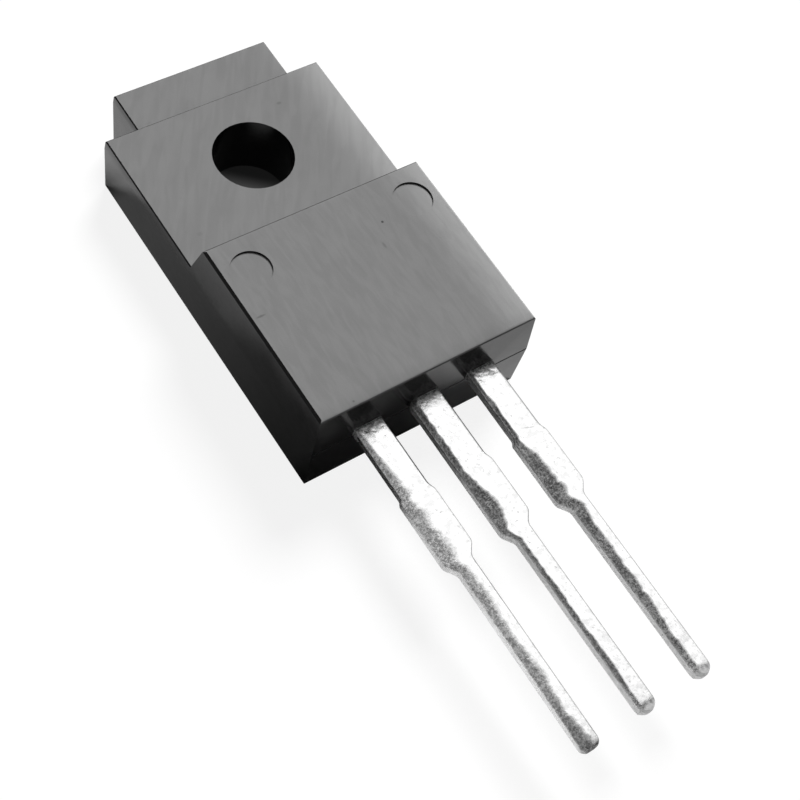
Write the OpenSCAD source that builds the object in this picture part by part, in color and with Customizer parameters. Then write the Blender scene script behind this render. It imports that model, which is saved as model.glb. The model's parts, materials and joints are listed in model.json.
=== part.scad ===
// Fully moulded power transistor with a narrow head, a mounting hole and three flat leads.
// Millimetres. The origin is where the axis of the mounting hole meets the back face.
// X runs across the leads, Y towards the head and Z out of the front face.

/* [Moulded body] */
// Width of the body at its parting line
body_w = 9.8; // [9.4:0.1:10.6]
// Width of the narrow head at its parting line
head_w = 7; // [6.4:0.1:8]
// From the middle of the mounting hole to the top of the head
hole_to_top = 5; // [4.7:0.1:6]
// From the middle of the mounting hole to the shoulders beside the head
hole_to_shoulder = 3.1; // [2.8:0.1:3.6]
// From the middle of the mounting hole to the front edge of the step
hole_to_step = 3.95; // [3.8:0.05:4.5]
// From the middle of the mounting hole to the end face that the leads leave
hole_to_end = 12.3; // [12:0.1:13]
// Thickness of the block in front of the die
block_t = 4.5; // [4.2:0.1:5]
// Thickness of the tab round the mounting hole
tab_t = 2.8; // [2.6:0.1:3.2]
// How far the front of the head lies behind the front of the tab
head_drop = 0.06; // [0:0.02:0.1]
// Height of the parting line above the back face
parting_z = 2.35; // [2.2:0.05:2.5]
// Slope of the walls in front of the parting line, in degrees
front_draft = 3.5; // [1:0.5:5]
// Slope of the walls behind the parting line, in degrees
back_draft = 1; // [0.5:0.5:5]
// How far the step's face leans over its height
step_lean = 0.45; // [0.2:0.05:0.8]
// Bevel along the edges of the block's front face
edge_bevel = 0.1; // [0.02:0.02:0.16]
// Bevel along the edges of the front faces of the tab and the head
tab_bevel = 0.05; // [0.02:0.01:0.1]
// Diameter of the mounting hole
hole_d = 3.3; // [3:0.1:3.6]

/* [Ejector marks] */
// Diameter of the round marks that the ejector pins leave in the block
mark_d = 1.6; // [1.2:0.1:2]
// Depth of the marks
mark_depth = 0.08; // [0.02:0.02:0.2]
// From the parting line of the side wall to the middle of a mark
mark_from_side = 1.3; // [1.2:0.1:2]
// From the front edge of the step to the middle of a mark
mark_from_step = 1.6; // [1.2:0.05:2]

/* [Leads] */
// Thickness of the sheet that the leads are stamped from
lead_t = 0.5; // [0.4:0.05:0.6]
// Distance from the middle of one lead to the next
lead_pitch = 2.54; // [2.44:0.02:2.64]
// Length of a lead outside the body
lead_len = 13.9; // [10:0.1:15]
// Width of a lead where it leaves the body
root_w = 1.2; // [1:0.05:1.4]
// Length of the part of a lead next to the body
root_len = 3.1; // [2:0.1:4]
// Width of a lead where the dam bar was cut off
dam_w = 1.4; // [1.3:0.05:1.6]
// Length of the wide part that the cut dam bar leaves
dam_len = 2.35; // [1.5:0.05:3]
// Length over which a lead widens before the cut
widen_len = 0.25; // [0.1:0.05:0.5]
// Length over which a lead narrows to its tail
narrow_len = 0.45; // [0.2:0.05:0.8]
// Width of the tail that goes into the board
tail_w = 0.72; // [0.6:0.02:0.9]
// Bevel of the tail's cut end
tip_bevel = 0.16; // [0.05:0.01:0.25]

/* [Header plate] */
// Thickness of the plate that carries the die
header_t = 1.2; // [0.8:0.1:1.4]
// Resin behind the plate
back_wall = 0.6; // [0.4:0.05:0.8]
// Resin beside the plate and the bond posts
side_wall = 0.9; // [0.7:0.05:1.2]
// Resin between the plate and the top faces
top_wall = 1; // [0.8:0.05:1.2]
// Resin between the plate and the end face
end_wall = 2.4; // [2.2:0.05:2.8]
// Resin round the wall of the mounting hole
sleeve_t = 0.8; // [0.6:0.05:1]
// Radius of the round notches that lock the resin to the plate
lock_r = 0.5; // [0.3:0.05:0.6]
// From the plate's lower edge to the middle of the first notches
lock_from_edge = 1.2; // [0.8:0.1:1.6]
// From the first notches to the second ones
lock_pitch = 4.8; // [3.5:0.1:5.5]
// Width of the neck that joins the middle lead to the plate
neck_w = 1.6; // [1.4:0.05:1.8]
// Length of the neck's slope, seen from the front
neck_run = 1; // [0.8:0.05:1.2]
// Flat stretch of the neck beside the plate
neck_flat = 0.15; // [0.05:0.05:0.3]

/* [Bond posts] */
// Gap between a bond post and the neck
post_gap = 0.7; // [0.5:0.05:1]
// From the end face to the widening of a bond post
post_root = 0.55; // [0.4:0.05:0.7]
// Length over which the root widens to the post
post_widen = 0.2; // [0.1:0.05:0.3]
// Length of the wide part of a bond post
post_len = 1.2; // [1:0.05:1.3]
// Radius of the notch in the outer edge of a bond post
post_notch_r = 0.25; // [0.1:0.05:0.4]

/* [Die and bond wires] */
// Side of the square die
die_w = 3.4; // [3:0.1:3.8]
// Thickness of the die
die_t = 0.25; // [0.2:0.01:0.35]
// From the plate's lower edge to the middle of the die
die_from_edge = 2.4; // [2.1:0.1:3]
// Thickness of the solder under the die
solder_t = 0.06; // [0.03:0.01:0.1]
// Width of the solder that shows round the die
solder_rim = 0.12; // [0.05:0.01:0.2]
// Diameter of the thin control wire
thin_wire_d = 0.2; // [0.12:0.02:0.26]
// Diameter of the two thick load wires
thick_wire_d = 0.38; // [0.3:0.02:0.44]
// Length of the flattened foot at each end of a wire
foot_len = 0.6; // [0.5:0.05:0.7]
// Width of a foot, in diameters of its wire
foot_spread = 1.4; // [1.2:0.1:1.5]
// Height of a foot, in diameters of its wire
foot_height = 0.55; // [0.5:0.05:0.7]
// Half of the angle that a wire turns through over its crown
loop_angle = 50; // [40:1:60]
// From the middle of the die across to the thin wire
thin_wire_side = 1.1; // [0.8:0.05:1.3]
// From the middle of the die across to the middle of the thick wires
thick_wire_side = 0.75; // [0.6:0.05:0.95]
// From the middle of the die down to the feet of the wires
foot_down = 0.5; // [0.2:0.05:0.9]
// Distance between the thick wires on the die
die_foot_pitch = 0.75; // [0.6:0.05:0.9]
// Distance between the thick wires on the bond post
post_foot_pitch = 1; // [0.7:0.05:1.2]

/* [Hidden] */
round_fn = 96;
wire_fn = 24;
turn_fn = 96;
clear = 1; // how far a cutting shape reaches past what it cuts

end_y = -hole_to_end;
step_y = -hole_to_step;
lead_z = parting_z; // the leads lie on the parting plane
lead_top = lead_z + lead_t;

header_z = back_wall;
header_top = header_z + header_t;
header_low = end_y + end_wall;
header_x = body_w / 2 - side_wall;
tongue_x = head_w / 2 - side_wall;
neck_drop = lead_top - header_top;
neck_start = header_low - neck_flat - neck_run;

die_z = header_top + solder_t;
die_top = die_z + die_t;
die_y = header_low + die_from_edge;

post_in = neck_w / 2 + post_gap;
post_out = body_w / 2 - side_wall;
post_low = end_y + post_root + post_widen;
post_x = (post_in + post_out) / 2;
post_y = post_low + post_len / 2;

// How far a wall stands back from the parting line at a height
function set_back(z) =
    z > parting_z ? (z - parting_z) * tan(front_draft) : (parting_z - z) * tan(back_draft);

// Half width of a drafted block at a height
function wall_x(w, z) = w / 2 - set_back(z);

// Side view of a drafted block from y0 to y1, with its upper end leaning by lean above z0
function side_view(y0, y1, h, bevel, z0, lean) = [
    [y0 + set_back(0), 0],
    [y0, parting_z],
    [y0 + set_back(h - bevel), h - bevel],
    [y0 + set_back(h - bevel) + bevel, h],
    [y1 - set_back(h - bevel) - bevel, h],
    [y1 - set_back(h - bevel) + lean * bevel / (h - z0), h - bevel],
    [y1 - set_back(z0) + lean, z0],
    [y1 - set_back(0) + lean, 0]
];

// End view of a drafted block
function end_view(w, h, bevel) = [
    [-wall_x(w, 0), 0],
    [wall_x(w, 0), 0],
    [w / 2, parting_z],
    [wall_x(w, h - bevel), h - bevel],
    [wall_x(w, h - bevel) - bevel, h],
    [-wall_x(w, h - bevel) + bevel, h],
    [-wall_x(w, h - bevel), h - bevel],
    [-w / 2, parting_z]
];

// Block with walls that slope both ways from the parting line
module drafted_block(w, y0, y1, h, bevel, z0, lean = 0) {
    intersection() {
        rotate([90, 0, 90])
            linear_extrude(w, center = true)
                polygon(side_view(y0, y1, h, bevel, z0, lean));
        translate([0, y1 + lean, 0])
            rotate([90, 0, 0])
                linear_extrude(y1 + lean - y0)
                    polygon(end_view(w, h, bevel));
    }
}

// The three blocks that make up the moulding, before anything is cut from it
module moulding() {
    drafted_block(body_w, end_y, hole_to_shoulder, tab_t, tab_bevel, parting_z);
    drafted_block(head_w, step_y, hole_to_top, tab_t - head_drop, tab_bevel, parting_z);
    drafted_block(body_w, end_y, step_y, block_t, edge_bevel, tab_t, step_lean);
}

module moulded_body() {
    color([0.22, 0.22, 0.22])
        difference() {
            moulding();
            translate([0, 0, -clear])
                cylinder(d = hole_d, h = tab_t + 2 * clear, $fn = round_fn);
            for (side = [-1, 1])
                translate([side * (body_w / 2 - mark_from_side), step_y - mark_from_step,
                           block_t - mark_depth])
                    cylinder(d = mark_d, h = clear, $fn = round_fn);
            centre_lead();
            left_lead();
            right_lead();
            silicon_die();
            die_solder();
            thin_wire();
            thick_wire_inner();
            thick_wire_outer();
        }
}

// Distances from the end face and half widths along a lead outside the body
function lead_stations() = [
    [0, root_w / 2],
    [root_len, root_w / 2],
    [root_len + widen_len, dam_w / 2],
    [root_len + widen_len + dam_len, dam_w / 2],
    [root_len + widen_len + dam_len + narrow_len, tail_w / 2],
    [lead_len - tip_bevel, tail_w / 2],
    [lead_len, tail_w / 2 - tip_bevel]
];

// Outline of a lead outside the body, down one edge and back up the other
function lead_outline() = let (s = lead_stations(), last = len(s) - 1) concat(
    [for (i = [0 : last]) [s[i][1], end_y - s[i][0]]],
    [for (i = [last : -1 : 0]) [-s[i][1], end_y - s[i][0]]]
);

module outer_lead() {
    translate([0, 0, lead_z])
        linear_extrude(lead_t)
            polygon(lead_outline());
}

// Outline of the right bond post inside the body, seen from the front
function post_outline() = [
    [lead_pitch - root_w / 2, end_y],
    [lead_pitch + root_w / 2, end_y],
    [lead_pitch + root_w / 2, end_y + post_root],
    [post_out, post_low],
    [post_out, post_low + post_len],
    [post_in, post_low + post_len],
    [post_in, post_low],
    [lead_pitch - root_w / 2, end_y + post_root]
];

// Lead on the right with its bond post, stamped flat
module posted_lead() {
    color([0.8, 0.8, 0.8])
        difference() {
            union() {
                translate([lead_pitch, 0, 0])
                    outer_lead();
                translate([0, 0, lead_z])
                    linear_extrude(lead_t)
                        polygon(post_outline());
            }
            translate([post_out, post_y, lead_z - clear])
                cylinder(r = post_notch_r, h = lead_t + 2 * clear, $fn = round_fn);
        }
}

module right_lead() {
    posted_lead();
}

module left_lead() {
    mirror([1, 0, 0])
        posted_lead();
}

// Plate under the die, with a tongue into the head and an eye round the mounting hole
module header_plate() {
    outline = [
        [-header_x, header_low],
        [header_x, header_low],
        [header_x, hole_to_shoulder - top_wall],
        [tongue_x, hole_to_shoulder - top_wall],
        [tongue_x, hole_to_top - top_wall],
        [-tongue_x, hole_to_top - top_wall],
        [-tongue_x, hole_to_shoulder - top_wall],
        [-header_x, hole_to_shoulder - top_wall]
    ];
    difference() {
        translate([0, 0, header_z])
            linear_extrude(header_t)
                polygon(outline);
        translate([0, 0, header_z - clear])
            cylinder(d = hole_d + 2 * sleeve_t, h = header_t + 2 * clear, $fn = round_fn);
        for (side = [-1, 1], row = [0, 1])
            translate([side * header_x, header_low + lock_from_edge + row * lock_pitch,
                       header_z - clear])
                cylinder(r = lock_r, h = header_t + 2 * clear, $fn = round_fn);
    }
}

// Side view of the strip that drops from the lead plane to the plate, of even thickness
function neck_side() = let (mitre = lead_t * tan(atan2(neck_drop, neck_run) / 2)) [
    [end_y, lead_z],
    [end_y, lead_top],
    [neck_start, lead_top],
    [neck_start + neck_run, header_top],
    [header_low + lead_t, header_top],
    [header_low + lead_t, header_top - lead_t],
    [neck_start + neck_run - mitre, header_top - lead_t],
    [neck_start - mitre, lead_z]
];

// Outline of the neck seen from the front
function neck_outline() = [
    [-root_w / 2, end_y],
    [root_w / 2, end_y],
    [neck_w / 2, neck_start],
    [neck_w / 2, header_low + lead_t],
    [-neck_w / 2, header_low + lead_t],
    [-neck_w / 2, neck_start]
];

module neck() {
    intersection() {
        rotate([90, 0, 90])
            linear_extrude(neck_w, center = true)
                polygon(neck_side());
        linear_extrude(lead_top)
            polygon(neck_outline());
    }
}

module centre_lead() {
    color([0.8, 0.8, 0.8]) {
        outer_lead();
        neck();
        header_plate();
    }
}

// Square layer centred under the bond feet
module die_layer(w, z, t) {
    translate([-w / 2, die_y - w / 2, z])
        cube([w, w, t]);
}

module die_solder() {
    color([0.6, 0.6, 0.62])
        die_layer(die_w + 2 * solder_rim, header_top, solder_t);
}

module silicon_die() {
    color([0.25, 0.28, 0.33])
        die_layer(die_w, die_z, die_t);
}

// Outline of a flattened foot with round ends, seen from above
function foot_outline(w) = concat(
    [for (a = [-90 : 30 : 90]) [(foot_len - w) / 2 + w / 2 * cos(a), w / 2 * sin(a)]],
    [for (a = [90 : 30 : 270]) [(w - foot_len) / 2 + w / 2 * cos(a), w / 2 * sin(a)]]
);

// End of a wire, pressed flat onto the surface at z = 0
module wire_foot(d) {
    linear_extrude(foot_height * d)
        polygon(foot_outline(foot_spread * d));
}

// Wire from the middle of a foot on the die to the middle of a foot on a post
module bond_wire(on_die, on_post, d) {
    across = on_post - on_die;
    rise = lead_top - die_top;
    offset_x = (foot_len - d) / 2; // the loop leaves a foot near the foot's inner end
    span = norm(across) - 2 * offset_x;
    tilt = atan2(rise, span);
    up = loop_angle + tilt;
    down = loop_angle - tilt;
    loop_r = norm([span, rise]) / (2 * sin(loop_angle));
    color([0.82, 0.82, 0.84])
        translate([on_die[0], on_die[1], die_top])
            rotate([0, 0, atan2(across[1], across[0])]) {
                wire_foot(d);
                translate([norm(across), 0, rise])
                    wire_foot(d);
                difference() {
                    translate([offset_x + loop_r * sin(up), 0, -loop_r * cos(up)])
                        rotate([90, 0, 0])
                            rotate([0, 0, 90 - down])
                                rotate_extrude(angle = up + down, $fn = turn_fn)
                                    translate([loop_r, 0])
                                        circle(d = d, $fn = wire_fn);
                    translate([-foot_len, -d, -d])
                        cube([2 * foot_len, 2 * d, d]);
                    translate([norm(across) - foot_len, -d, rise - d])
                        cube([2 * foot_len, 2 * d, d]);
                }
            }
}

module thin_wire() {
    bond_wire([-thin_wire_side, die_y - foot_down], [-post_x, post_y], thin_wire_d);
}

// Thick wire on one side, -1 next to the middle lead and 1 next to the wall
module thick_wire(side) {
    bond_wire([thick_wire_side + side * die_foot_pitch / 2, die_y - foot_down],
              [post_x + side * post_foot_pitch / 2, post_y], thick_wire_d);
}

module thick_wire_inner() {
    thick_wire(-1);
}

module thick_wire_outer() {
    thick_wire(1);
}

moulded_body();
centre_lead();
left_lead();
right_lead();
silicon_die();
die_solder();
thin_wire();
thick_wire_inner();
thick_wire_outer();
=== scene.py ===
import json
import math

import bmesh
import bpy
import numpy as np
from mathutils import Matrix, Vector, noise
from mathutils.bvhtree import BVHTree


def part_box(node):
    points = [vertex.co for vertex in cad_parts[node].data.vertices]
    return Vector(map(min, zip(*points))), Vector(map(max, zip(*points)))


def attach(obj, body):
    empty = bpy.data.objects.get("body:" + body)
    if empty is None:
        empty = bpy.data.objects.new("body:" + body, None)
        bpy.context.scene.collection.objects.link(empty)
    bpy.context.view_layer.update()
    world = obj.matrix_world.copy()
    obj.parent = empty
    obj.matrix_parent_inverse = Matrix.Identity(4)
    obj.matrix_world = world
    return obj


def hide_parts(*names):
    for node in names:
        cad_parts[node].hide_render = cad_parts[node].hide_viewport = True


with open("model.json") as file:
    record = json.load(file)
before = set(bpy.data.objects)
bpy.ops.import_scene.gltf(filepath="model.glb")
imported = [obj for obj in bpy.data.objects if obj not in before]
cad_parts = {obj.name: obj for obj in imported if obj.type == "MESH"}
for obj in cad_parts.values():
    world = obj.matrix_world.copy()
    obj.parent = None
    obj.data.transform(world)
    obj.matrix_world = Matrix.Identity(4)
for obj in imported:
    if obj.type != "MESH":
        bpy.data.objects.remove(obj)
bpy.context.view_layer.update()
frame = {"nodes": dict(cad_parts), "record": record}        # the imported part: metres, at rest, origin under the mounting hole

mm = 0.001
nearby = 0.001           # mm within which two places count as one
scene = bpy.context.scene

# Camera at the photograph's angle, fitted to the corners of the block, the hole and the leads

photoView = {
    "place": (-23.363, -30.309, 50.326),     # mm
    "turn": (29.763, -10.158, -33.67),       # degrees
    "lens": 68.284,
    "sensor": 36,
    "nearest": 1,                            # mm
    "furthest": 5000,
}


def placeCamera(view):
    data = bpy.data.cameras.new("photoCamera")
    data.lens = view["lens"]
    data.sensor_width = view["sensor"]
    data.clip_start = view["nearest"] * mm
    data.clip_end = view["furthest"] * mm
    camera = bpy.data.objects.new("photoCamera", data)
    camera.location = Vector(view["place"]) * mm
    camera.rotation_euler = [math.radians(angle) for angle in view["turn"]]
    scene.collection.objects.link(camera)
    scene.camera = camera


placeCamera(photoView)
print("camera placed")

# Small helpers for node trees and objects


def setInput(tree, socket, value):
    if isinstance(value, bpy.types.NodeSocket):
        tree.links.new(value, socket)
    else:
        socket.default_value = value


def addNode(tree, kind, values=None, **settings):
    made = tree.nodes.new(kind)
    for name, value in settings.items():
        setattr(made, name, value)
    for name, value in (values or {}).items():
        setInput(tree, made.inputs[name], value)
    return made


def calc(tree, operation, *values, clamp=False):
    inputs = dict(enumerate(values))
    made = addNode(tree, "ShaderNodeMath", inputs, operation=operation, use_clamp=clamp)
    return made.outputs[0]


def product(tree, first, *others):
    for other in others:
        first = calc(tree, "MULTIPLY", first, other)
    return first


def scaleAdd(tree, value, factor, other):
    # value times factor, plus the other
    return calc(tree, "MULTIPLY_ADD", value, factor, other)


def between(tree, value, low, high, toLow=0.0, toHigh=1.0):
    inputs = {"Value": value, "From Min": low, "From Max": high, "To Min": toLow, "To Max": toHigh}
    made = addNode(tree, "ShaderNodeMapRange", inputs, interpolation_type="SMOOTHSTEP")
    return made.outputs["Result"]


def aroundOne(tree, mask, contrast):
    return scaleAdd(tree, mask, contrast, 1 - contrast / 2)


def darken(tree, tone, mask, strength):
    return product(tree, tone, scaleAdd(tree, mask, -strength, 1.0))


def vectorMath(tree, operation, first, second):
    made = addNode(tree, "ShaderNodeVectorMath", {0: first, 1: second}, operation=operation)
    return made.outputs[0]


def lengthOf(tree, vector):
    made = addNode(tree, "ShaderNodeVectorMath", {0: vector}, operation="LENGTH")
    return made.outputs["Value"]


def scaled(tree, vector, factor):
    inputs = {0: vector, "Scale": factor}
    return addNode(tree, "ShaderNodeVectorMath", inputs, operation="SCALE").outputs[0]


def turnedAboutZ(tree, vector, angle):
    inputs = {"Vector": vector, "Angle": angle}
    made = addNode(tree, "ShaderNodeVectorRotate", inputs, rotation_type="Z_AXIS")
    return made.outputs[0]


def grey(level):
    return (level, level, level, 1)


def greyFrom(tree, tone):
    return addNode(tree, "ShaderNodeCombineXYZ", dict.fromkeys("XYZ", tone)).outputs[0]


def blend(tree, factor, first, second):
    return addNode(tree, "ShaderNodeMix", {0: factor, 2: first, 3: second}).outputs[0]


def blendColour(tree, factor, first, second):
    inputs = {0: factor, 6: first, 7: second}
    return addNode(tree, "ShaderNodeMix", inputs, data_type="RGBA").outputs[2]


def addObject(name, mesh):
    made = bpy.data.objects.new(name, mesh)
    scene.collection.objects.link(made)
    return made


def startGroup(name, inputs, output):
    group = bpy.data.node_groups.new(name, "ShaderNodeTree")
    for label, value in inputs.items():
        kind = "NodeSocketVector" if isinstance(value, tuple) else "NodeSocketFloat"
        socket = group.interface.new_socket(name=label, in_out="INPUT", socket_type=kind)
        socket.default_value = value
    group.interface.new_socket(name=output, in_out="OUTPUT", socket_type="NodeSocketFloat")
    given = group.nodes.new("NodeGroupInput").outputs
    gives = group.nodes.new("NodeGroupOutput").inputs
    return group, given, gives


def useGroup(tree, group, **values):
    return addNode(tree, "ShaderNodeGroup", values, node_tree=group).outputs[0]


def millimetres(tree):
    return scaled(tree, addNode(tree, "ShaderNodeTexCoord").outputs["Object"], 1 / mm)


def axesOf(tree, place):
    return addNode(tree, "ShaderNodeSeparateXYZ", {0: place}).outputs


# Surface effects that several finishes share; sizes are in mm

effects = {
    "cloudEdge": (0.3, 0.7),      # of the noise, where a patch or streak starts and is full
    "patchDetail": 3.0,
    "grainDetail": 4.0,
    "grainRoughness": 0.65,
    "streakDetail": 1.5,
    "streakBend": 0.6,
    "spotEdge": (1.0, 0.4),       # of the reach, where a spot starts and is full
}


def makePatches(look):
    group, given, gives = startGroup("patches", {"Size": 1.0, "Offset": 0.0}, "Value")
    place = vectorMath(group, "ADD", millimetres(group), given["Offset"])
    scale = calc(group, "DIVIDE", 1.0, given["Size"])
    inputs = {"Vector": place, "Scale": scale, "Detail": look["patchDetail"]}
    cloud = addNode(group, "ShaderNodeTexNoise", inputs).outputs[0]
    group.links.new(between(group, cloud, *look["cloudEdge"]), gives["Value"])
    return group


def makeGrain(look):
    group, given, gives = startGroup("grain", {"Size": 0.05}, "Value")
    scale = calc(group, "DIVIDE", 1.0, given["Size"])
    inputs = {"Vector": millimetres(group), "Scale": scale,
              "Detail": look["grainDetail"], "Roughness": look["grainRoughness"]}
    dots = addNode(group, "ShaderNodeTexNoise", inputs).outputs[0]
    group.links.new(dots, gives["Value"])
    return group


def makeStreaks(look):
    inputs = {"Turn": 0.0, "Width": 0.2, "Length": 3.0}
    group, given, gives = startGroup("streaks", inputs, "Value")
    turned = turnedAboutZ(group, millimetres(group), given["Turn"])
    sides = {"X": given["Width"], "Y": given["Length"], "Z": given["Width"]}
    size = addNode(group, "ShaderNodeCombineXYZ", sides).outputs[0]
    inputs = {"Vector": vectorMath(group, "DIVIDE", turned, size), "Scale": 1.0,
              "Detail": look["streakDetail"], "Distortion": look["streakBend"]}
    lines = addNode(group, "ShaderNodeTexNoise", inputs).outputs[0]
    group.links.new(between(group, lines, *look["cloudEdge"]), gives["Value"])
    return group


def makeSpot(look):
    inputs = {"Middle": (0.0, 0.0, 0.0), "Reach": (0.1, 0.1, 0.1), "Turn": 0.0}
    group, given, gives = startGroup("spot", inputs, "Mask")
    away = vectorMath(group, "SUBTRACT", millimetres(group), given["Middle"])
    turned = turnedAboutZ(group, away, given["Turn"])
    length = lengthOf(group, vectorMath(group, "DIVIDE", turned, given["Reach"]))
    group.links.new(between(group, length, *look["spotEdge"]), gives["Mask"])
    return group


patches = makePatches(effects)
grain = makeGrain(effects)
streaks = makeStreaks(effects)
spot = makeSpot(effects)


def startMaterial(name, **constants):
    material = bpy.data.materials.new(name)
    material.use_nodes = True
    tree = material.node_tree
    shader = tree.nodes["Principled BSDF"]
    for label, value in constants.items():
        shader.inputs[label.replace("_", " ")].default_value = value
    return material, tree, shader


def giveBump(tree, shader, height, depth):
    inputs = {"Height": height, "Strength": 1.0, "Distance": depth * mm}
    bump = addNode(tree, "ShaderNodeBump", inputs)
    tree.links.new(bump.outputs[0], shader.inputs["Normal"])


def feed(tree, shader, **links):
    for label, value in links.items():
        tree.links.new(value, shader.inputs[label.replace("_", " ")])


# Moulded epoxy: matte front and back whose grey holds painted sheen, smooth dark walls, black
# bevels of painted shade

matteEpoxy = {
    # partly the resin's own grey and partly painted sheen, in place of the lamp's gloss, which
    # surfaces don't mirror
    "grey": 0.246,
    "blockStreaks": {"Turn": 0.0, "Width": 0.24, "Length": 1.1},
    "tabStreaks": {"Turn": math.radians(34), "Width": 0.3, "Length": 1.8},
    "frontRise": (3.0, 4.0),      # mm, between the heights of the tab and the block
    "streakContrast": 0.085,
    "patchSize": 1.6,
    "patchContrast": 0.04,
    "grainSize": 0.035,
    "grainContrast": 0.12,
    "roughness": 0.49,
    "grainRoughness": 0.12,
    "specular": 0.3,
    "streakHeight": 0.3,
    "bump": 0.005,                # mm
    "paintedSheenAcross": (2.8, 5.3),   # painted sheen: the lighter strip along the right edge
    "edgeLift": 0.74,
    "endFade": (-12.3, -11.5),    # where the strip dims at the leads' end
    "endTone": 0.86,
    "lowHalf": (4.3, 4.38),       # painted shade: the lower half of the bevels at both ends of the block is darkened
    "highHalf": (4.46, 4.43),
    "stepEnd": (-4.3, -4.15),
    "leadEnd": (-12.05, -12.12),
    "endShade": 0.75,
    "specks": [                   # middle and reach in mm, and how dark
        ((1.93, -5.93, 4.5), (0.07, 0.07, 1), 0.75),
        ((1.41, -6.86, 4.5), (0.07, 0.2, 1), 0.2),
        ((-4.35, -7.45, 4.5), (0.25, 0.06, 1), 0.35),
        ((2.29, 1.83, 2.8), (0.14, 0.09, 1), 0.22),
        ((-3.8, -2.37, 2.8), (0.16, 0.12, 1), 0.08),
        ((-3.27, -11.97, 4.5), (0.06, 0.06, 1), 0.35),
    ],
}


def bevelShade(tree, place, look):
    low = product(tree, between(tree, place["Z"], *look["lowHalf"]),
                  between(tree, place["Z"], *look["highHalf"]))
    atEnd = calc(tree, "ADD", between(tree, place["Y"], *look["stepEnd"]),
                 between(tree, place["Y"], *look["leadEnd"]))
    return calc(tree, "MULTIPLY", low, atEnd, clamp=True)


def makeMatteEpoxy(look):
    material, tree, shader = startMaterial("matteEpoxy", Specular_IOR_Level=look["specular"])
    place = axesOf(tree, millimetres(tree))
    onBlock = between(tree, place["Z"], *look["frontRise"])
    blockLines = useGroup(tree, streaks, **look["blockStreaks"])
    tabLines = useGroup(tree, streaks, **look["tabStreaks"])
    lines = blend(tree, onBlock, tabLines, blockLines)
    clouds = useGroup(tree, patches, Size=look["patchSize"])
    dots = useGroup(tree, grain, Size=look["grainSize"])
    # painted sheen: the front lightens across the strip along its right edge
    paintedSheen = between(tree, place["X"], *look["paintedSheenAcross"], 1.0, 1 + look["edgeLift"])
    faded = between(tree, place["Y"], *look["endFade"], look["endTone"], 1.0)
    tone = product(tree, aroundOne(tree, lines, look["streakContrast"]),
                   aroundOne(tree, clouds, look["patchContrast"]), product(tree, paintedSheen, faded),
                   aroundOne(tree, dots, look["grainContrast"]))
    tone = darken(tree, tone, bevelShade(tree, place, look), look["endShade"])
    for middle, reach, strength in look["specks"]:
        tone = darken(tree, tone, useGroup(tree, spot, Middle=middle, Reach=reach), strength)
    colour = scaled(tree, grey(look["grey"])[:3], tone)
    rough = scaleAdd(tree, dots, look["grainRoughness"], look["roughness"])
    feed(tree, shader, Base_Color=colour, Roughness=rough)
    giveBump(tree, shader, scaleAdd(tree, lines, look["streakHeight"], dots), look["bump"])
    return material


smoothEpoxy = {
    "grey": 0.006,
    "patchSize": 1.2,
    "patchTone": 0.85,            # outside the patches
    "patchLift": 0.3,
    "grainSize": 0.05,
    "grainHeight": 0.25,
    "bump": 0.003,                # mm
    "roughness": 0.14,
    "patchRoughness": 0.08,
    "specular": 0.5,
    "partingHeight": 2.35,        # mm above the back face
    "partingWidth": 0.07,         # each way; the seam is full within a third of it
    "seamFrom": (-12.15, -12.2),  # mm; the seam shows on the end wall alone
    "seamDark": 0.8,
    "seamRoughness": 0.5,
    "seamHeight": -2.0,
    "nick": {"Middle": (-1.09, 1.17, 2.72), "Reach": (0.16, 0.16, 0.07)},
    "nickLift": 14.0,
}


def makeSmoothEpoxy(look):
    material, tree, shader = startMaterial("smoothEpoxy")
    place = axesOf(tree, millimetres(tree))
    clouds = useGroup(tree, patches, Size=look["patchSize"])
    dots = useGroup(tree, grain, Size=look["grainSize"])
    away = calc(tree, "ABSOLUTE", calc(tree, "SUBTRACT", place["Z"], look["partingHeight"]))
    seam = product(tree, between(tree, away, look["partingWidth"], look["partingWidth"] / 3),
                   between(tree, place["Y"], *look["seamFrom"]))
    tone = scaleAdd(tree, clouds, look["patchLift"], look["patchTone"])
    tone = darken(tree, tone, seam, look["seamDark"])
    tone = scaleAdd(tree, useGroup(tree, spot, **look["nick"]), look["nickLift"], tone)
    rough = scaleAdd(tree, clouds, look["patchRoughness"], look["roughness"])
    rough = scaleAdd(tree, seam, look["seamRoughness"], rough)
    shine = scaleAdd(tree, seam, -look["seamDark"] * look["specular"], look["specular"])
    feed(tree, shader, Base_Color=scaled(tree, grey(look["grey"])[:3], tone), Roughness=rough,
         Specular_IOR_Level=shine)
    height = scaleAdd(tree, dots, look["grainHeight"], clouds)
    height = scaleAdd(tree, seam, look["seamHeight"], height)
    giveBump(tree, shader, height, look["bump"])
    return material


# painted shade: near-black for bevels and rounded edges that face away from the light, with lighter
# chips
paintedShadeEpoxy = {
    "grey": 0.003,
    "grainSize": 0.04,
    "chipped": (0.6, 0.68),       # of the grain, where a chip starts and is full
    "chipLift": 0.07,
    "roughness": 0.35,
    "grainRoughness": 0.3,
    "specular": 0.15,
    "bump": 0.004,                # mm
}


def makePaintedShadeEpoxy(look):
    material, tree, shader = startMaterial("paintedShadeEpoxy", Specular_IOR_Level=look["specular"])
    dots = useGroup(tree, grain, Size=look["grainSize"])
    tone = scaleAdd(tree, between(tree, dots, *look["chipped"]), look["chipLift"], look["grey"])
    rough = scaleAdd(tree, dots, look["grainRoughness"], look["roughness"])
    feed(tree, shader, Base_Color=greyFrom(tree, tone), Roughness=rough)
    giveBump(tree, shader, dots, look["bump"])
    return material


# Tinned copper of the leads. Their meshes carry four layers that say how worn, stained or
# darkened, dark along the right edge, or blunt it is.

leadMasks = ("worn", "stained", "rim", "blunt")

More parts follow.
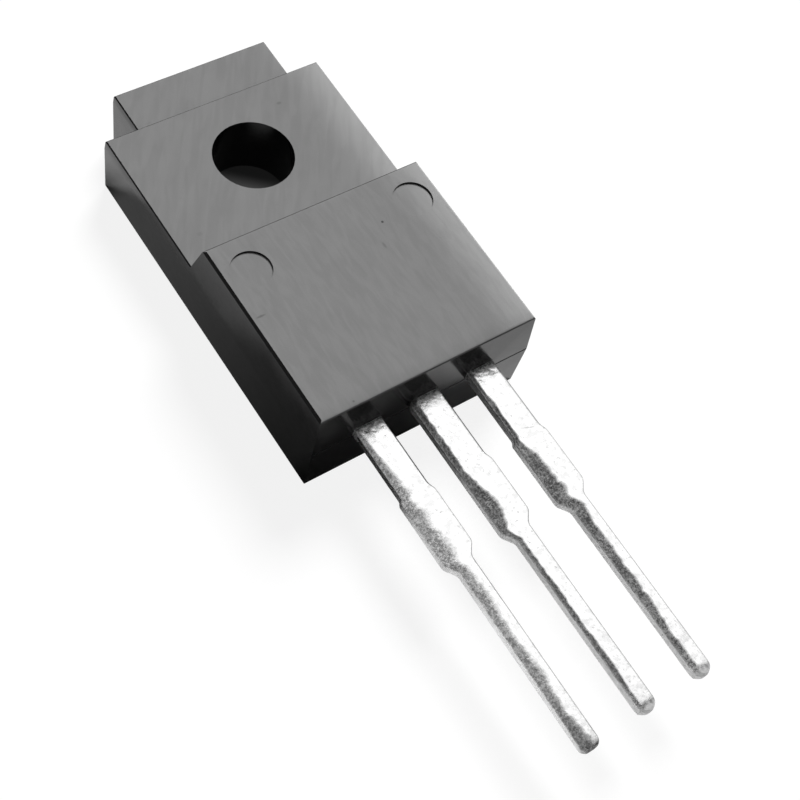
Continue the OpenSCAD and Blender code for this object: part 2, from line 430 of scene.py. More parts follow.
tin = {
    "bright": 0.97,
    "smudged": 0.85,
    "smudgeSize": 0.22,           # mm
    "smudgeOffset": 3.0,          # so that smudges and clouds lie apart
    "smudgeEdge": (0.6, 0.85),    # of the patches, where a smudge starts and is full
    "worn": 0.13,
    "fineSize": 0.045,
    "coarseSize": 0.11,
    "pitShares": (0.5, 0.5),      # of the fine and the coarse grain
    "pitEdge": (0.42, 0.58),      # of the two together, where wear is full and where least
    "leastWear": 0.3,
    "rim": 0.03,                  # the sheared right edge, darkened
    "crumbs": 0.1,                # resin crumbs at the root, and the darkening of the worn sides
    "crumbSize": 0.07,
    "crumbEdge": (0.4, 0.6),      # of the grain, where crumbs are full and where least
    "crumbLeast": 0.4,
    "blunt": 0.95,                # matt grey of a rounded tip or a sheared side; on the left walls partly painted reflection
    "bluntMetal": 0.2,
    "roughness": 0.14,
    "cloudSize": 0.5,
    "cloudRoughness": 0.1,        # this and the next three come on top
    "wornRoughness": 0.1,
    "stainRoughness": 0.2,
    "bluntRoughness": 0.25,
    "drawn": {"Turn": 0.0, "Width": 0.05, "Length": 0.9},
    "drawnHeight": 0.15,
    "fineHeight": 0.15,
    "wornFineHeight": 2.0,
    "wornCoarseHeight": 4.0,
    "dimpleSize": 0.16,
    "dimpleEdge": (0.34, 0.28),
    "dimpleHeight": -0.7,
    "bump": 0.006,
    "marks": [                    # middle, reach in mm, turn in degrees, and how dark
        ((2.63, -15.3, 2.85), (0.33, 0.035, 0.3), 20, 0.3),
        ((2.86, -16.06, 2.85), (0.2, 0.03, 0.3), 5, 0.15),
        ((-0.25, -15.32, 2.85), (0.05, 0.05, 0.3), 0, 0.3),
        ((0.08, -15.69, 2.85), (0.07, 0.05, 0.3), 0, 0.18),
        ((0.22, -17.71, 2.85), (0.07, 0.05, 0.3), 0, 0.22),
    ],
}


def meshMask(tree, name):
    return addNode(tree, "ShaderNodeAttribute", attribute_name=name).outputs["Fac"]


def tinColour(tree, look, worn, stained, rim, blunt, fine, coarse):
    smudges = useGroup(tree, patches, Size=look["smudgeSize"], Offset=look["smudgeOffset"])
    tone = between(tree, smudges, *look["smudgeEdge"], look["bright"], look["smudged"])
    for middle, reach, turn, strength in look["marks"]:
        mark = useGroup(tree, spot, Middle=middle, Reach=reach, Turn=math.radians(turn))
        tone = darken(tree, tone, mark, strength)
    fineShare, coarseShare = look["pitShares"]
    pits = scaleAdd(tree, fine, fineShare, product(tree, coarse, coarseShare))
    inPits = between(tree, pits, *look["pitEdge"], 1.0, look["leastWear"])
    pitted = calc(tree, "MULTIPLY", worn, inPits, clamp=True)
    colour = blendColour(tree, pitted, greyFrom(tree, tone), grey(look["worn"]))
    colour = blendColour(tree, blunt, colour, grey(look["blunt"]))
    dots = useGroup(tree, grain, Size=look["crumbSize"])
    crumbly = between(tree, dots, *look["crumbEdge"], 1.0, look["crumbLeast"])
    colour = blendColour(tree, product(tree, stained, crumbly), colour, grey(look["crumbs"]))
    return blendColour(tree, rim, colour, grey(look["rim"]))


def tinHeight(tree, look, worn, fine, coarse, clouds):
    height = scaleAdd(tree, fine, look["fineHeight"], clouds)
    drawn = useGroup(tree, streaks, **look["drawn"])
    height = scaleAdd(tree, drawn, look["drawnHeight"], height)
    height = scaleAdd(tree, product(tree, worn, fine), look["wornFineHeight"], height)
    height = scaleAdd(tree, product(tree, worn, coarse), look["wornCoarseHeight"], height)
    dimples = useGroup(tree, grain, Size=look["dimpleSize"])
    dimples = between(tree, dimples, *look["dimpleEdge"])
    return scaleAdd(tree, dimples, look["dimpleHeight"], height)


def makeTin(look):
    material, tree, shader = startMaterial("tin")
    worn, stained, rim, blunt = (meshMask(tree, name) for name in leadMasks)
    fine = useGroup(tree, grain, Size=look["fineSize"])
    coarse = useGroup(tree, grain, Size=look["coarseSize"])
    clouds = useGroup(tree, patches, Size=look["cloudSize"])
    colour = tinColour(tree, look, worn, stained, rim, blunt, fine, coarse)
    metal = scaleAdd(tree, blunt, look["bluntMetal"] - 1, 1.0)
    rough = scaleAdd(tree, clouds, look["cloudRoughness"], look["roughness"])
    rough = scaleAdd(tree, worn, look["wornRoughness"], rough)
    rough = scaleAdd(tree, stained, look["stainRoughness"], rough)
    rough = scaleAdd(tree, blunt, look["bluntRoughness"], rough)
    feed(tree, shader, Base_Color=colour, Roughness=rough, Metallic=metal)
    giveBump(tree, shader, tinHeight(tree, look, worn, fine, coarse, clouds), look["bump"])
    return material


# Pieces inside the moulding

hiddenFinishes = {
    "silicon": {"grey": 0.3, "roughness": 0.08, "grain": 0.4, "metal": 0.6},
    "solder": {"grey": 0.6, "roughness": 0.35, "grain": 0.08, "metal": 1.0},
    "bondWire": {"grey": 0.85, "roughness": 0.22, "grain": 0.03, "metal": 1.0},
}

hiddenTexture = {
    "lines": {"Turn": 0.0, "Width": 0.03, "Length": 0.8},
    "lineShare": 0.3,             # against the grain
    "tone": 0.9,                  # where the texture is lowest
    "contrast": 0.2,
    "roughnessRise": 0.12,
    "bump": 0.002,                # mm
}


def makeHiddenFinish(name, look, texture):
    material, tree, shader = startMaterial(name, Metallic=look["metal"])
    dots = useGroup(tree, grain, Size=look["grain"])
    lines = useGroup(tree, streaks, **texture["lines"])
    mixed = scaleAdd(tree, lines, texture["lineShare"], dots)
    tone = product(tree, look["grey"], scaleAdd(tree, mixed, texture["contrast"], texture["tone"]))
    rough = scaleAdd(tree, mixed, texture["roughnessRise"], look["roughness"])
    feed(tree, shader, Base_Color=greyFrom(tree, tone), Roughness=rough)
    giveBump(tree, shader, mixed, texture["bump"])
    return material


matteMaterial = makeMatteEpoxy(matteEpoxy)
smoothMaterial = makeSmoothEpoxy(smoothEpoxy)
paintedShadeMaterial = makePaintedShadeEpoxy(paintedShadeEpoxy)
tinMaterial = makeTin(tin)
print("materials made")

# Studio: white floor, one broad light from behind on the right, and a grey tent with a bright
# opening and a black flag, which only metal and polish mirror

lamp = {
    "from": (0.52, 0.42, 0.74),
    "strength": 3.6,
    "angle": 24,                  # degrees across, so shadows are soft
}

tent = {
    "seen": 1.0,                  # behind everything, for the camera
    "fill": 0.04,                 # for light that bounces
    "grey": 0.48,
    "lowGrey": 0.55,
    "lowFrom": (0.6, 0.35),       # height of a ray where the low part starts and is full
    "openingTowards": (0.45, 0.42, 0.79),
    "openingEdge": (17, 34),      # degrees from its middle: still full, and gone
    "openingWhite": 1.15,
    "flagTowards": (0.39, -0.45, 0.8),       # beyond the tips of the leads
    "flagEdge": (19, 30),
    "flagGrey": 0.03,
}

# Places on the floor are in mm; a pair of them says where an area starts and is full
floorLook = {
    "half": 1500,
    "drop": 0.01,                 # below the part, so that the two faces don't fight
    "grey": 0.7,                  # for light that bounces
    "greyMirrored": 0.95,
    "greySeen": 0.17,             # for the camera, which also sees the glow
    "glowSeen": 0.87,
    "underHole": (2.2, 2.5),      # from the hole's axis; the glow stops under the hole
    "leakTowards": (0.65, 0.76),  # light that leaks in on the side towards the leads
    "leakFrom": (1.25, -0.3),
    "leak": (0.004, 0.1),
    "shadedGrey": 0.3,            # mirrored under the roots of the leads
    "shadedAcross": (2.5, -0.3),
    "shadedNear": (-15.6, -14.4),
    "shadedFar": (-11.0, -12.0),
    "stripShadeGrey": 0.45,            # painted shade: darker floor, mirrored in the upper strip of the block's left wall
    "stripNear": (-6.3, -6.8),
    "stripFar": (-8.2, -7.5),
    "stripAlong": (-12.5, -11.5),
    "sideGlow": 0.17,             # painted light, mirrored beside the tab, falling to none at the block's end
    "sideAlong": (-13, 1.2),
    "sideEnd": (2.0, 3.2),
    "leadGlow": 0.35,             # painted light, mirrored to the left of the leads
    "leadGlowRight": 0.0875,      # and what is left of it under them
    "leadAcross": (-2.6, -3.8),
    "leadAlong": (-14.6, -16.4),
}


def raysThatShow(tree):
    path = addNode(tree, "ShaderNodeLightPath").outputs
    mirrored = calc(tree, "ADD", path["Is Glossy Ray"], path["Is Transmission Ray"], clamp=True)
    return path["Is Camera Ray"], mirrored


def within(tree, ray, towards, edge):
    # 1 nearer to a direction than the first angle, and 0 beyond the second
    inputs = {0: ray, 1: Vector(towards).normalized()}
    facing = addNode(tree, "ShaderNodeVectorMath", inputs, operation="DOT_PRODUCT")
    full, gone = (math.cos(math.radians(angle)) for angle in edge)
    return between(tree, facing.outputs["Value"], gone, full)


def makeWorld(look):
    world = bpy.data.worlds.new("studio")
    world.use_nodes = True
    tree = world.node_tree
    seen, mirrored = raysThatShow(tree)
    ray = addNode(tree, "ShaderNodeTexCoord").outputs["Generated"]
    low = between(tree, axesOf(tree, ray)["Z"], *look["lowFrom"])
    around = blendColour(tree, low, grey(look["grey"]), grey(look["lowGrey"]))
    flag = within(tree, ray, look["flagTowards"], look["flagEdge"])
    around = blendColour(tree, flag, around, grey(look["flagGrey"]))
    opening = within(tree, ray, look["openingTowards"], look["openingEdge"])
    around = blendColour(tree, opening, around, grey(look["openingWhite"]))
    colour = blendColour(tree, mirrored, grey(look["fill"]), around)
    colour = blendColour(tree, seen, colour, grey(look["seen"]))
    tree.links.new(colour, tree.nodes["Background"].inputs["Color"])
    scene.world = world


# painted shade: darker floor, seen only in reflections, under the roots of the leads and beside the
# block's left wall
def floorMirrored(tree, place, look):
    shaded = product(tree, between(tree, place["X"], *look["shadedAcross"]),
                     between(tree, place["Y"], *look["shadedNear"]),
                     between(tree, place["Y"], *look["shadedFar"]))
    shadedStrip = product(tree, between(tree, place["X"], *look["stripNear"]),
                    between(tree, place["X"], *look["stripFar"]),
                    between(tree, place["Y"], *look["stripAlong"]))
    colour = blendColour(tree, shaded, grey(look["greyMirrored"]), grey(look["shadedGrey"]))
    return blendColour(tree, shadedStrip, colour, grey(look["stripShadeGrey"]))


# painted light: the floor glows in reflections only, beside the tab and to the left of the leads
def glowMirrored(tree, place, look):
    besideBody = product(tree, between(tree, place["Y"], *look["sideAlong"], 0, look["sideGlow"]),
                         between(tree, place["Y"], *look["sideEnd"], 1, 0))
    across = between(tree, place["X"], *look["leadAcross"], look["leadGlowRight"], look["leadGlow"])
    besideLeads = product(tree, across, between(tree, place["Y"], *look["leadAlong"]))
    return calc(tree, "ADD", besideBody, besideLeads)


def makeFloor(look):
    half, low = look["half"] * mm, -look["drop"] * mm
    corners = [(x * half, y * half, low) for x, y in ((-1, -1), (1, -1), (1, 1), (-1, 1))]
    mesh = bpy.data.meshes.new("floor")
    mesh.from_pydata(corners, [], [(0, 1, 2, 3)])
    floor = addObject("floor", mesh)
    material, tree, shader = startMaterial(
        "floor", Roughness=1.0, Specular_IOR_Level=0.0, Emission_Strength=1.0)
    seen, mirrored = raysThatShow(tree)
    place = axesOf(tree, millimetres(tree))
    colour = blendColour(tree, seen, grey(look["grey"]), grey(look["greySeen"]))
    colour = blendColour(tree, mirrored, colour, floorMirrored(tree, place, look))
    flat = addNode(tree, "ShaderNodeCombineXYZ", {"X": place["X"], "Y": place["Y"]}).outputs[0]
    outside = between(tree, lengthOf(tree, flat), *look["underHole"])
    right, up = look["leakTowards"]
    aslant = scaleAdd(tree, place["X"], right, product(tree, place["Y"], up))
    leak = between(tree, aslant, *look["leakFrom"], *look["leak"])
    glowSeen = blend(tree, outside, leak, look["glowSeen"])
    beside = product(tree, glowMirrored(tree, place, look), outside, mirrored)
    glow = greyFrom(tree, scaleAdd(tree, seen, glowSeen, beside))
    feed(tree, shader, Base_Color=colour, Emission_Color=glow)
    mesh.materials.append(material)


def makeLight(look):
    data = bpy.data.lights.new("softLight", "SUN")
    data.energy = look["strength"]
    data.angle = math.radians(look["angle"])
    light = bpy.data.objects.new("softLight", data)
    light.rotation_euler = Vector(look["from"]).to_track_quat("Z", "Y").to_euler()
    light.visible_glossy = False      # metal and polish mirror the tent and the floor instead
    scene.collection.objects.link(light)


makeWorld(tent)
makeFloor(floorLook)
makeLight(lamp)
print("studio set up")

# Moulded body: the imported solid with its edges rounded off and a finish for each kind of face

moulding = {
    "mergeWithin": 1e-4,          # mm
    "flatAngle": 0.5,             # degrees; faces that meet at less become one
    "sharpAngle": 25,             # a smaller fold isn't rounded off
    "rounding": 0.028,            # mm
    "roundSteps": 2,
    "roundProfile": 0.5,
    "creaseAngle": 50,            # a sharper fold isn't shaded as round
    "flatWeight": 100,            # how firmly large faces keep their own shading
    "steepest": 0.45,             # upward share of the normal of a bevel
    "flattest": 0.95,
    "upright": 0.15,              # upward share at which a rounded edge belongs to the wall
    "sideways": 0.3,              # share to the left or right that makes a bevel a side bevel
    "blockAbove": 0.3,            # mm above the tab
    "holeMargin": 0.01,
}


def solidInMillimetres(node, look):
    form = bmesh.new()
    form.from_mesh(frame["nodes"][node].data)
    bmesh.ops.scale(form, vec=Vector((1, 1, 1)) / mm, verts=form.verts)
    bmesh.ops.remove_doubles(form, verts=form.verts, dist=look["mergeWithin"])
    flat = math.radians(look["flatAngle"])
    bmesh.ops.dissolve_limit(form, angle_limit=flat, verts=form.verts, edges=form.edges)
    return form


def finishMesh(form, name):
    bmesh.ops.scale(form, vec=Vector((mm, mm, mm)), verts=form.verts)
    mesh = bpy.data.meshes.new(name)
    form.to_mesh(mesh)
    form.free()
    return mesh


def facesOutside(form, holeRadius):
    tree = BVHTree.FromBMesh(form)
    outside = set()
    for face in form.faces:
        middle = face.calc_center_median()
        hit = tree.ray_cast(middle + face.normal * nearby, face.normal)
        if hit[0] is None or math.hypot(middle.x, middle.y) < holeRadius:
            outside.add(face)
    return outside


def isBevel(normal, look):
    return look["steepest"] < normal.z < look["flattest"]


def isSideBevel(normal, look):
    return isBevel(normal, look) and abs(normal.x) >= look["sideways"]


def staysSharp(edge, look):
    # between a front face and a bevel at an upper or lower end
    normals = [face.normal for face in edge.link_faces]
    endBevels = [n for n in normals if isBevel(n, look) and not isSideBevel(n, look)]
    return bool(endBevels) and any(n.z > look["flattest"] for n in normals)


def isRoundedOff(edge, outside, look):
    return (len(edge.link_faces) == 2 and edge.is_convex
            and edge.calc_face_angle() > math.radians(look["sharpAngle"])
            and all(face in outside for face in edge.link_faces)
            and not staysSharp(edge, look))


def finishOf(face, strips, look, tabHeight):
    matte, smooth, black = range(3)       # in the order of the body's materials
    normal = face.normal
    onBlock = face.calc_center_median().z > tabHeight + look["blockAbove"]
    towardsRight = normal.x > look["sideways"]
    # black is painted shade: bevels and rounded edges facing away from the light are black; bevels
    # facing right, and rounded edges facing right on the tab, keep the matte grey
    if face in strips:
        if normal.z < look["upright"]:
            return smooth
        return matte if towardsRight and not onBlock else black
    if abs(normal.z) > look["flattest"]:
        return matte
    if not isBevel(normal, look):
        return smooth
    if towardsRight:
        return matte
    headEnd = normal.y > 0 and not onBlock
    return black if normal.x < -look["sideways"] or headEnd else matte


def makeBody(look):
    hole = next(m for m in frame["record"]["mounts"] if m["name"] == "mounting_hole")
    form = solidInMillimetres("moulded_body", look)
    outside = facesOutside(form, hole["dims"]["r_mm"] + look["holeMargin"])
    edges = [edge for edge in form.edges if isRoundedOff(edge, outside, look)]
    made = bmesh.ops.bevel(form, geom=edges, offset=look["rounding"], offset_type="OFFSET",
                           affect="EDGES", segments=look["roundSteps"],
                           profile=look["roundProfile"], clamp_overlap=True)
    strips = set(made["faces"])
    form.normal_update()
    for face in form.faces:
        face.smooth = True
        face.material_index = finishOf(face, strips, look, hole["dims"]["length_mm"])
    crease = math.radians(look["creaseAngle"])
    for edge in form.edges:
        edge.smooth = len(edge.link_faces) == 2 and edge.calc_face_angle() < crease
    body = addObject("mouldedBody", finishMesh(form, "mouldedBody"))
    for material in (matteMaterial, smoothMaterial, paintedShadeMaterial):
        body.data.materials.append(material)
    keepFlat = body.modifiers.new("keepFlat", "WEIGHTED_NORMAL")
    keepFlat.weight = look["flatWeight"]
    keepFlat.keep_sharp = True
    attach(body, "root")
    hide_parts("moulded_body")


makeBody(moulding)
print("body made")

# Leads: a lofted strip with a crowned top, rolled edges and sheared sides, on the stamped inner
# part. Lengths are in mm.

leadForm = {
    "step": 0.07,                 # between two rings
    "buried": 0.3,                # how far the loft reaches into the moulding
    "smoothing": 0.1,             # over which the outline's corners are rounded
    "smoothingSteps": 9,
    "flashRamp": 0.15,            # over which resin widens the left edge at the root
    "stubSkew": 0.33,             # how much further the left edge of the cut stub reaches
    "plainTip": 1,                # nearer to the tip than this the left edge isn't skewed
    "cornerRound": 0.05,
    "bottomRound": 0.04,
    # radius of the right edge, at distances from the body
    "rightRound": [(0, 0.085), (3, 0.085), (3.5, 0.04), (13.9, 0.04)],
    "widestCrown": 0.8,           # of the whole width
    "tipRings": 8,
    "tipTurnFrom": 0.2,           # share of the quarter turn at the first ring of the tip
    "tipNarrows": 0.6,            # of what the top drops at the tip
    "tipRises": 0.5,
    "points": {"wall": 6, "corner": 4, "crown": 18, "top": 14, "bottom": 10},
}

# How the surface strays from the plain loft. A scale is in waves per mm, along x, y and z.
leadSurface = {
    "seedStep": 7.3,              # per mm across, so that each lead has its own noise
    "slowWobble": (1.3, 0.5),     # of the worn side's border: a scale and a slice of noise
    "quickWobble": (5, 2.5),
    "quickShare": 0.7,
    "wobble": 0.3,                # of the worn side's width
    "roughScale": (9, 5, 9),
    "broadScale": (2.6, 2.2),     # along x and y
    "shearScale": (16, 2.2),      # along y and z
    "crumbScale": 11,
    "roughPush": 0.006,
    "broadPush": 0.004,
    "shearPush": 0.005,
    "collar": 0.42,               # reach of the tin and resin crumbs at the root
    "collarHeight": 0.035,
    "collarLevel": 0.35,          # raises the crumbs' noise; what is above 0 stands out
    "collarStain": (1.6, -0.3, 0.8),      # from the collar, always, and from the crumbs
    "collarBlunt": 0.6,
    "tipWearFrom": 0.5,           # how far from the tip its wear starts
    "darkeningTone": (0.8, 0.6),       # everywhere, and with the broad waves
    "bluntTip": (2.4, -0.5, 0.5),         # from the tip, always, and with the rough waves
    "faceMargin": 0.02,           # nearer to the body's face than this nothing is pushed
}

# Along each lead: mm from the body, width of the worn left side, and how far it drops.
# Rim and darkening: mm from the body, and how strong.
# Wear: its most, and how steeply it starts at the inner border of the worn side.
# Slope share: the part of the crown that slopes evenly before it levels out.
roundTipped = {                   # what the centre and the right lead have alike
    "darkening": [(0, 0.8), (12.5, 0.8), (13.4, 0)],
    "wear": (1.0, 3.2),
    "slopeShare": 0.6,
    "tipRound": 0.42,
    "tipDrop": 0.22,
    "tipWear": 0.5,
    "tipBlunt": 0.9,
    "wallBluntAndReflection": 0.4,
}

leadCrowns = {
    "left_lead": {
        "worn": [(0, 0.14, 0.12), (1.2, 0.22, 0.12), (3, 0.45, 0.1), (4.4, 0.72, 0.12),
                 (5.9, 0.7, 0.12), (6.6, 0.44, 0.085), (10, 0.42, 0.09), (12.5, 0.42, 0.11),
                 (13.9, 0.6, 0.2)],
        "rim": [(0, 1), (3, 1), (3.4, 0.25), (5.8, 0.35), (6.3, 0.8), (8, 0.7), (10, 0.2),
                (13.9, 0.1)],
        "darkening": [(0, 0), (10, 0), (12, 0.35), (13.2, 0.9), (13.9, 1.3)],
        "wear": (0.82, 1.7),
        "slopeShare": 0.35,
        "tipRound": 0.12,
        "tipDrop": 0.1,
        "tipWear": 1.0,
        "tipBlunt": 0.0,
        "wallBluntAndReflection": 0.1,
    },
    "centre_lead": {
        "worn": [(0, 0.24, 0.18), (2.9, 0.24, 0.18), (3.3, 0.2, 0.12), (4.0, 0.45, 0.14),
                 (5.2, 0.64, 0.19), (5.9, 0.4, 0.14), (6.4, 0.18, 0.09), (9, 0.2, 0.09),
                 (13.9, 0.17, 0.08)],
        "rim": [(0, 0.9), (3, 0.8), (3.4, 0.3), (5.5, 0.5), (7.5, 0.4), (13.9, 0.3)],
        **roundTipped,
    },
    "right_lead": {
        "worn": [(0, 0.16, 0.14), (3.0, 0.18, 0.14), (3.5, 0.25, 0.12), (4.2, 0.5, 0.15),
                 (5.8, 0.58, 0.17), (6.6, 0.42, 0.13), (10, 0.34, 0.1), (13.9, 0.26, 0.08)],
        "rim": [(0, 0.5), (3, 0.4), (3.4, 0.2), (13.9, 0.2)],
        **roundTipped,
    },
}

# Masks on the parts of a ring, and where the points of its crown are pushed to
ringLook = {
    "sideWear": 0.15,
    "cornerWear": 0.8,
    "edgeWear": 0.2,
    "sideRim": 0.8,
    "rimRise": 4,                 # over the turn of the right edge; it stops at 1
    "crownPush": (-0.2, 0.98),
}


def clipped(value):
    return min(1.0, max(0.0, value))


def outlineOf(node, endY):
    corners = {(round(v.co.y / mm, 3), round(v.co.x / mm, 3))
               for v in frame["nodes"][node].data.vertices if v.co.y / mm < endY + nearby}
    rows = sorted({y for y, x in corners}, reverse=True)
    middle = np.mean([x for y, x in corners])
    halves = [max(abs(x - middle) for y, x in corners if y == row) for row in rows]
    return middle, np.array(rows), np.array(halves)


def halfWidths(ys, rows, halves, look):
    shifts = np.linspace(-look["smoothing"], look["smoothing"], look["smoothingSteps"])
    wide = [np.interp(-(ys + s), -rows, halves) for s in shifts]
    return np.mean(wide, axis=0)


def leftHalfWidths(ys, rows, halves, look):
    # resin keeps the left edge straight from the body to the stub, whose end is sheared askew
    out = rows[0] - ys
    widest = halves.max()
    stubMiddle = rows[halves == widest].mean()
    straight = halves[0] + (widest - halves[0]) * np.clip(out / look["flashRamp"], 0, 1)
    askew = halfWidths(ys + look["stubSkew"], rows, halves, look)
    nearTip = rows[-1] + look["plainTip"] - ys > 0
    askew = np.where(nearTip, np.minimum(askew, np.interp(-ys, -rows, halves)), askew)
    return np.where(ys > stubMiddle, straight, askew)


def along(rows, out):
    table = np.array(rows)
    values = [np.interp(out, table[:, 0], column) for column in table[:, 1:].T]
    return values if len(values) > 1 else values[0]


def crownHeight(share, level):
    # 1 at the left edge and 0 where the top is flat: an even slope that eases out
    steep = 2 / (1 + level)
    if share > level:
        return steep * (1 - share) ** 2 / (2 * (1 - level))
    return steep * (1 - level) / 2 + steep * (level - share)


def sectionPoints(left, right, low, high, crownWidth, crownDrop, edge, crown, look, parts):
    # each point: x, z, wear, rim, and the direction that it is pushed in
    counts = look["points"]
    corner, bottom = look["cornerRound"], look["bottomRound"]
    crownWidth = min(crownWidth, look["widestCrown"] * (left + right))
    level = crown["slopeShare"]
    mostWear, wearStart = crown["wear"]
    shoulder = high - crownDrop * crownHeight(corner / crownWidth, level)
    quarter = math.pi / 2
    points = []
    for k in range(counts["wall"]):
        rise = k / counts["wall"] * (shoulder - corner - low - bottom)
        points.append((-left, low + bottom + rise, parts["sideWear"], 0, -1, 0))
    for k in range(counts["corner"]):
        angle = quarter * k / counts["corner"]
        x = -left + corner * (1 - math.cos(angle))
        z = shoulder - corner * (1 - math.sin(angle))
        points.append((x, z, parts["cornerWear"], 0, -math.cos(angle), math.sin(angle)))
    for k in range(counts["crown"]):
        across = corner + (crownWidth - corner) * k / counts["crown"]
        share = across / crownWidth
        wear = min(mostWear, wearStart * (1 - share))
        z = high - crownDrop * crownHeight(share, level)
        points.append((-left + across, z, wear, 0, *parts["crownPush"]))
    start = -left + crownWidth
    for k in range(counts["top"]):
        x = start + k / counts["top"] * (right - edge - start)
        points.append((x, high, 0, 0, 0, 1))
    for k in range(counts["corner"] + 1):
        turn = k / counts["corner"]
        angle = quarter * turn
        x = right - edge * (1 - math.sin(angle))
        z = high - edge * (1 - math.cos(angle))
        rim = min(1.0, parts["rimRise"] * turn)
        points.append((x, z, parts["edgeWear"], rim, math.sin(angle), math.cos(angle)))
    for k in range(1, counts["wall"]):
        fall = k / counts["wall"] * (high - edge - low - bottom)
        points.append((right, high - edge - fall, parts["sideWear"], parts["sideRim"], 1, 0))
    for k in range(counts["bottom"] + 1):
        x = right - bottom - k / counts["bottom"] * (left + right - 2 * bottom)
        points.append((x, low, parts["sideWear"], 0, 0, -1))
    return points


def noiseAt(x, y, z):
    return noise.noise(Vector((x, y, z)))


def wornWidth(width, y, seed, surface):
    slow, quick = (noiseAt(seed, y * scale, level)
                   for scale, level in (surface["slowWobble"], surface["quickWobble"]))
    return width * (1 + surface["wobble"] * (slow + surface["quickShare"] * quick))


def addPoint(form, layers, point, ring, surface):
    # ring: what is the same all round it
    x, z, wear, rim, pushX, pushZ = point
    y, seed, crown = ring["y"], ring["seed"], ring["crown"]
    free, collar, toTip = ring["free"], ring["collar"], ring["toTip"]
    across = ring["middle"] + x
    roughX, roughY, roughZ = surface["roughScale"]
    broadX, broadY = surface["broadScale"]
    shearY, shearZ = surface["shearScale"]
    crumbScale = surface["crumbScale"]
    rough = noiseAt(across * roughX, y * roughY, z * roughZ + seed)
    broad = noiseAt(across * broadX, y * broadY, seed)
    sheared = noiseAt(y * shearY, z * shearZ, seed + pushX)
    crumbs = noiseAt(across * crumbScale, y * crumbScale, z * crumbScale + seed)
    wear = max(wear, crown["tipWear"] * ring["atTip"])
    push = free * (surface["broadPush"] * broad * pushZ + surface["roughPush"] * rough * wear
                   + surface["shearPush"] * sheared * abs(pushX))
    push += surface["collarHeight"] * collar * max(0.0, crumbs + surface["collarLevel"])
    vertex = form.verts.new((across + pushX * push, y, z + pushZ * push))
    fromCollar, always, fromCrumbs = surface["collarStain"]
    crumbled = clipped(fromCollar * collar + always + fromCrumbs * crumbs)
    plainDarkening, broadDarkening = surface["darkeningTone"]
    darkening = ring["darkening"] * wear * (plainDarkening + broadDarkening * broad)
    fromTip, always, fromRough = surface["bluntTip"]
    tipBlunt = crown["tipBlunt"] * clipped(fromTip * toTip + always + fromRough * rough)
    # left walls only: matt grey that is partly painted reflection, lightening them as the floor's
    # reflection would
    wallBluntAndReflection = crown["wallBluntAndReflection"] if pushX == -1 else 0.0
    vertex[layers["worn"]] = wear
    vertex[layers["stained"]] = max(crumbled, darkening)
    vertex[layers["rim"]] = rim * ring["rim"]
    vertex[layers["blunt"]] = max(tipBlunt, wallBluntAndReflection, surface["collarBlunt"] * crumbled)
    return vertex


def joinRings(form, rings):
    for first, second in zip(rings, rings[1:]):
        for k in range(len(first)):
            nextK = (k + 1) % len(first)
            form.faces.new((first[k], first[nextK], second[nextK], second[k]))
    form.faces.new(rings[0][::-1])
    form.faces.new(rings[-1])


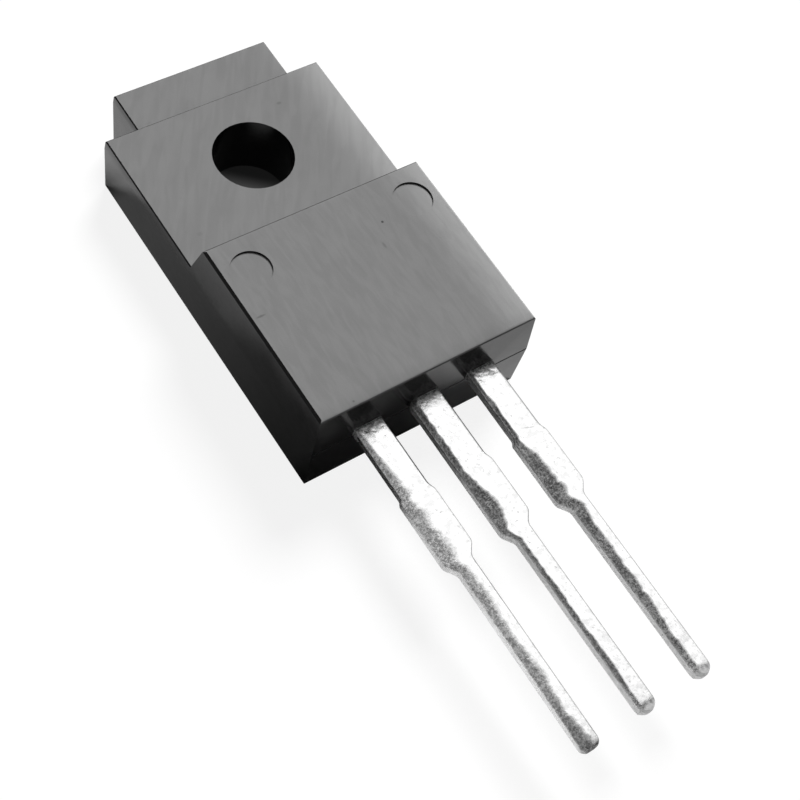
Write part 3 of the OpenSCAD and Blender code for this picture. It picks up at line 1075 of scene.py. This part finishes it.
def addLoft(form, crown, middle, endY, tipY, low, high, rows, halves, look, surface):
    layers = {name: form.verts.layers.float[name] for name in leadMasks}
    tipRound = crown["tipRound"]
    start = endY + look["buried"]
    count = int((start - tipY) / look["step"])
    curl = np.linspace(look["tipTurnFrom"], 1, look["tipRings"]) * math.pi / 2
    ys = np.concatenate([np.linspace(start, tipY + tipRound, count),
                         tipY + tipRound * (1 - np.sin(curl))])
    inFace = np.minimum(ys, endY)
    lefts = leftHalfWidths(inFace, rows, halves, look)
    rights = halfWidths(inFace, rows, halves, look)
    seed = surface["seedStep"] * middle
    rings = []
    for y, left, right in zip(ys, lefts, rights):
        out = endY - y
        crownWidth, crownDrop = along(crown["worn"], out)
        crownWidth = wornWidth(crownWidth, y, seed, surface)
        toTip = max(0.0, 1 - (y - tipY) / tipRound)
        drop = crown["tipDrop"] * (1 - math.sqrt(max(0.0, 1 - toTip * toTip)))
        narrower = look["tipNarrows"] * drop
        points = sectionPoints(left - narrower, right - narrower, low + look["tipRises"] * drop,
                               high - drop, crownWidth, crownDrop,
                               along(look["rightRound"], out), crown, look, ringLook)
        free = 1.0 if out > surface["faceMargin"] else 0.0
        ring = {
            "y": y, "seed": seed, "crown": crown, "middle": middle, "free": free, "toTip": toTip,
            "collar": free * max(0.0, 1 - abs(out) / surface["collar"]),
            "atTip": max(0.0, 1 - (y - tipY) / surface["tipWearFrom"]) ** 2,
            "rim": free * along(crown["rim"], out),
            "darkening": along(crown["darkening"], out),
        }
        rings.append([addPoint(form, layers, point, ring, surface) for point in points])
    joinRings(form, rings)


def cutAt(form, y):
    # takes away what lies beyond y towards the tip, and closes the cut
    split = bmesh.ops.bisect_plane(form, geom=form.verts[:] + form.edges[:] + form.faces[:],
                                   plane_co=Vector((0, y, 0)), plane_no=Vector((0, 1, 0)),
                                   clear_inner=True)
    rim = [g for g in split["geom_cut"] if isinstance(g, bmesh.types.BMEdge)]
    bmesh.ops.edgeloop_fill(form, edges=rim)


def makeLead(node, name, endY, look, surface):
    middle, rows, halves = outlineOf(node, endY)
    # the centre lead drops inside the body, so the left one gives the height of every strip
    low, high = (corner.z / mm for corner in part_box("left_lead"))
    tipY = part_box(node)[0].y / mm
    form = solidInMillimetres(node, moulding)
    cutY = endY + look["buried"]
    cutAt(form, cutY)
    for layer in leadMasks:
        form.verts.layers.float.new(layer)
    addLoft(form, leadCrowns[node], middle, endY, tipY, low, high, rows, halves, look, surface)
    for face in form.faces:
        face.smooth = face.calc_center_median().y < cutY - nearby
    bmesh.ops.recalc_face_normals(form, faces=form.faces)
    lead = addObject(name, finishMesh(form, name))
    lead.data.materials.append(tinMaterial)
    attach(lead, "root")
    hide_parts(node)


leadNames = {"left_lead": "leftLead", "centre_lead": "centreLead", "right_lead": "rightLead"}
bodyEnd = round(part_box("moulded_body")[0].y / mm, 3)
for node, name in leadNames.items():
    makeLead(node, name, bodyEnd, leadForm, leadSurface)
print("leads made")

# The die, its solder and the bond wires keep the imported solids

hiddenPieces = {
    "silicon_die": "silicon",
    "die_solder": "solder",
    "thin_wire": "bondWire",
    "thick_wire_inner": "bondWire",
    "thick_wire_outer": "bondWire",
}


def dressHidden(wearers):
    finishes = {name: makeHiddenFinish(name, look, hiddenTexture)
                for name, look in hiddenFinishes.items()}
    for node, finish in wearers.items():
        mesh = frame["nodes"][node].data
        mesh.materials.clear()
        mesh.materials.append(finishes[finish])


dressHidden(hiddenPieces)
print("inner pieces dressed")

scene.view_settings.view_transform = "Standard"
